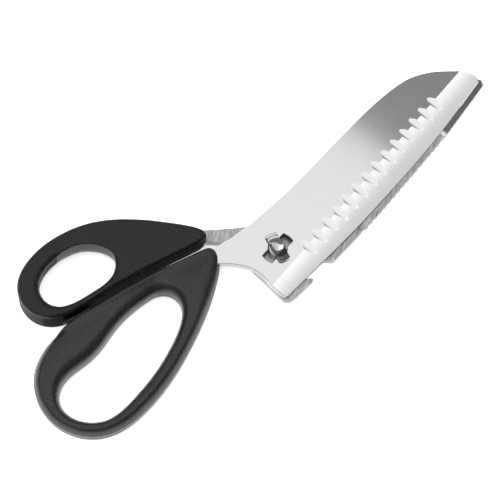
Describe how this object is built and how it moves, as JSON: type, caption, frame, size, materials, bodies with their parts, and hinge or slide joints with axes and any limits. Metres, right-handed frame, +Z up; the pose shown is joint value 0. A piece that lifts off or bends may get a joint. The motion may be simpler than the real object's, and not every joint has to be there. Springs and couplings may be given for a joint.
{
  "type": "take-apart kitchen shears",
  "caption": "Take-apart kitchen shears: scalloped knife blade over a serrated blade with bottle hook, T-head pivot stud, two looped black handles.",
  "frame": {"origin": "centre of the closed shears' footprint, on the handles' underside", "axes": "+X from the handles to the blade tips, +Z up out of the knife blade's face, +Y towards the small finger loop"},
  "size_m": [0.2396, 0.0962, 0.012],
  "materials": {
    "blade_steel": "fine satin grind with a brighter ground bevel",
    "lower_steel": "coarser cross-ground satin",
    "stud_steel": "turned and polished",
    "handle_plastic": "fine spark-textured moulding with a slight sheen",
    "bumper_rubber": "matt black elastomer"
  },
  "bodies": {
    "serrated_half": {"lower_blade": "lower_steel", "small_handle": "handle_plastic", "stop_bumper": "bumper_rubber", "pivot_stud": "stud_steel"},
    "knife_half": {"knife_blade": "blade_steel", "large_handle": "handle_plastic"}
  },
  "joints": [
    {"name": "pivot", "type": "hinge", "parent": "serrated_half", "child": "knife_half", "pos_m": [-0.0064, -0.02546, 0.006], "axis": [0, 0, 1], "range_deg": [0, 60]}
  ]
}
